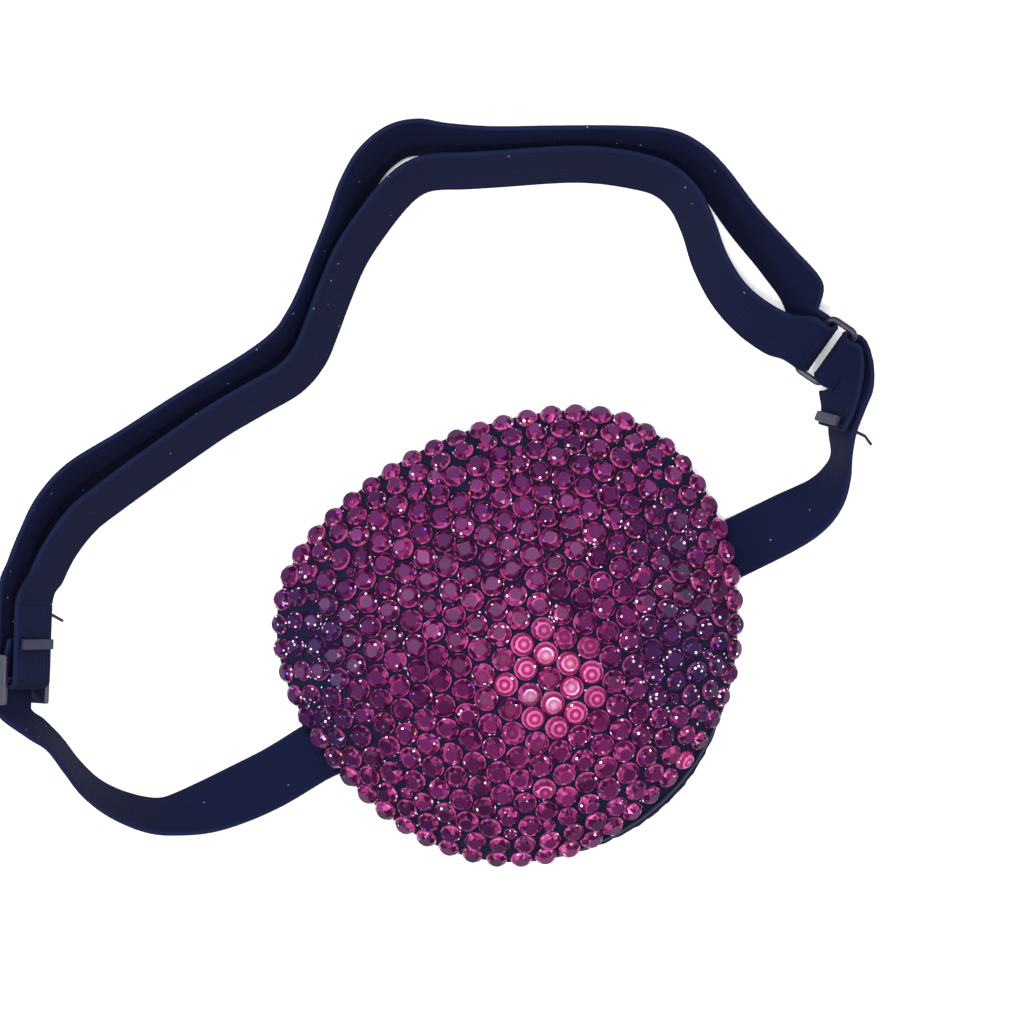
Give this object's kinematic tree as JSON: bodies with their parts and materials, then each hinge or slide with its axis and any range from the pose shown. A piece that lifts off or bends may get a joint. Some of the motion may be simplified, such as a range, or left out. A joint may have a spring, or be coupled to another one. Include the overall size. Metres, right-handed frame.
{
  "type": "eye patch",
  "caption": "Domed fabric eye patch covered in round flat-back crystals, worn on a flat elastic strap that adjusts with a slider and a wire ring.",
  "frame": {"origin": "middle of the patch, on the plane that its rim rests on", "axes": "+X runs along the two sewn strap ends, +Y points to the brow edge, +Z points out of the dome"},
  "size_m": [0.1521, 0.1188, 0.0178],
  "materials": {
    "moulded_board": "pressed stiffened felt board",
    "navy_cloth": "dark navy woven cloth",
    "lining_cloth": "soft dark navy lining",
    "comfort_foam": "thin laminated foam",
    "navy_elastic": "matte ribbed elastic webbing",
    "navy_thread": "sewing thread",
    "fuchsia_crystal": "foil-backed fuchsia crystal",
    "dark_metal": "glossy dark enamel"
  },
  "bodies": {
    "patch": {"moulded_shell": "moulded_board", "outer_cover": "navy_cloth", "foam_pad": "comfort_foam", "inner_lining": "lining_cloth", "edge_binding": "navy_cloth", "rim_stitching": "navy_thread", "crystal_row_01": "fuchsia_crystal", "crystal_row_02": "fuchsia_crystal", "crystal_row_03": "fuchsia_crystal", "crystal_row_04": "fuchsia_crystal", "crystal_row_05": "fuchsia_crystal", "crystal_row_06": "fuchsia_crystal", "crystal_row_07": "fuchsia_crystal", "crystal_row_08": "fuchsia_crystal", "crown_crystal_0": "fuchsia_crystal", "crown_crystal_1": "fuchsia_crystal", "crown_crystal_2": "fuchsia_crystal", "crown_crystal_3": "fuchsia_crystal", "crown_crystal_4": "fuchsia_crystal", "crown_crystal_5": "fuchsia_crystal", "crown_crystal_6": "fuchsia_crystal", "left_strap_end": "navy_elastic", "right_strap_end": "navy_elastic", "left_bar_tack": "navy_thread", "right_bar_tack": "navy_thread"},
    "strap_loop": {"left_strap": "navy_elastic", "outer_run": "navy_elastic", "inner_run": "navy_elastic", "inner_run_slack": "navy_elastic", "right_tab": "navy_elastic", "tab_bar_tack": "navy_thread", "tab_thread": "navy_thread"},
    "ring": {"strap_ring": "dark_metal"},
    "sewn_fold": {"sewn_end": "navy_elastic", "sewn_end_bar_tack": "navy_thread", "sewn_end_thread": "navy_thread"},
    "slider": {"slider_frame": "dark_metal"}
  },
  "joints": [
    {"name": "strap_swing", "type": "hinge", "parent": "patch", "child": "strap_loop", "pos_m": [0, -0.0016, 0.00065], "axis": [1, 0, 0], "range_deg": [-90, 90]},
    {"name": "slider_slide", "type": "slide", "parent": "strap_loop", "child": "sewn_fold", "axis": [0.4695, 0.8829, 0], "range_m": [0, 0.006], "deforming": ["inner_run_slack"]},
    {"name": "slider_tilt", "type": "hinge", "parent": "sewn_fold", "child": "slider", "pos_m": [-0.07374, 0.02926, 0.00805], "axis": [-0.4415, 0.2347, 0.866], "range_deg": [-8, 8]},
    {"name": "ring_rock", "type": "hinge", "parent": "strap_loop", "child": "ring", "pos_m": [0.06395, 0.0204, 0.0047], "axis": [0.7263, 0.4193, 0.5446], "range_deg": [-10, 10]}
  ]
}
